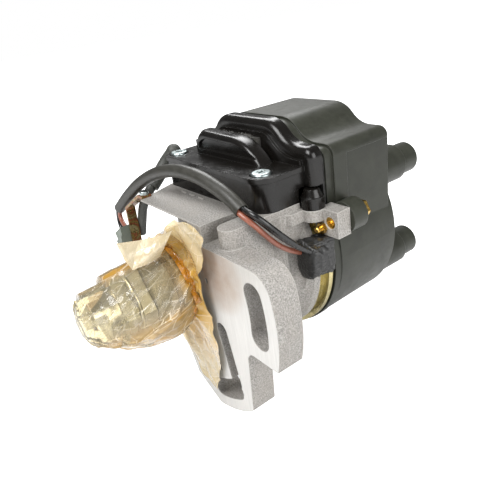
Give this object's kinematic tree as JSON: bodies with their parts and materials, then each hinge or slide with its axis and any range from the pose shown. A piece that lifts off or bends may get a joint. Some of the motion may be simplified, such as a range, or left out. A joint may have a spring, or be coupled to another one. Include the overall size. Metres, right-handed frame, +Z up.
{
  "type": "ignition distributor with built-in coil",
  "caption": "Ignition distributor with built-in coil: cast body on a slotted flange, moulded cap with lead towers, wiring and a film wrap over the drive end.",
  "frame": {"origin": "on the shaft's axis in the plane of the machined mounting face", "axes": "+Y along the shaft from the drive end to the cap, +Z up towards the coil"},
  "size_m": [0.1258, 0.1602, 0.1154],
  "materials": {
    "cast_aluminium": "as cast, rough",
    "cap_plastic": "satin",
    "cover_plastic": "gloss",
    "gasket_rubber": "matt",
    "seal_rubber": "matt",
    "gold_zinc": "gold zinc plate",
    "chromate_zinc": "iridescent chromate",
    "brass": "bright",
    "bright_zinc": "satin zinc",
    "steel": "ground",
    "bearing_steel": "polished",
    "rotor_plastic": "satin",
    "carbon": "matt",
    "coil_resin": "potted",
    "potting": "rough",
    "sleeve_vinyl": "satin",
    "wire_black": "gloss",
    "wire_brown": "satin",
    "lead_rubber": "matt",
    "boot_tape": "wrapped tape",
    "plug_plastic": "satin",
    "film": "translucent amber",
    "film_band": "translucent orange"
  },
  "bodies": {
    "distributor": {"housing": "cast_aluminium", "spigot_oring": "seal_rubber", "front_bush": "brass", "oil_seal": "seal_rubber", "rear_bearing": "bearing_steel", "shield_plate": "gold_zinc", "pickups": "cap_plastic", "cap_gasket": "gasket_rubber", "cap": "cap_plastic", "ignition_coil": "coil_resin", "cap_terminals": "brass", "carbon_brush": "carbon", "brush_spring": "steel", "cap_screws": "brass", "coil_base": "cover_plastic", "coil_cover": "cover_plastic", "cover_screws": "bright_zinc", "coil_potting": "potting", "vent_plug": "cover_plastic", "ground_stud": "brass", "harness_sleeve": "sleeve_vinyl", "harness_boot": "boot_tape", "lead_sock": "lead_rubber", "plug_bracket": "chromate_zinc", "bracket_screw": "bright_zinc", "harness_plug": "plug_plastic", "wire_brown": "wire_brown", "wire_black_1": "wire_black", "wire_black_2": "wire_black", "coil_lead": "lead_rubber", "tail_black": "wire_black", "tail_brown": "wire_brown"},
    "drive": {"drive_shaft": "steel", "shaft_circlip": "steel", "drive_coupling": "steel", "coupling_pin": "steel", "pin_spring_ring": "steel", "trigger_wheel": "steel", "rotor_arm": "rotor_plastic", "rotor_strip": "brass"},
    "film": {"protective_film": "film", "film_band": "film_band"}
  },
  "joints": [
    {"name": "shaft_turn", "type": "hinge", "parent": "distributor", "child": "drive", "pos_m": [0, 0, 0], "axis": [0, 1, 0], "continuous": true},
    {"name": "film_off", "type": "slide", "parent": "distributor", "child": "film", "axis": [0, -1, 0], "range_m": [0, 0.055]}
  ]
}
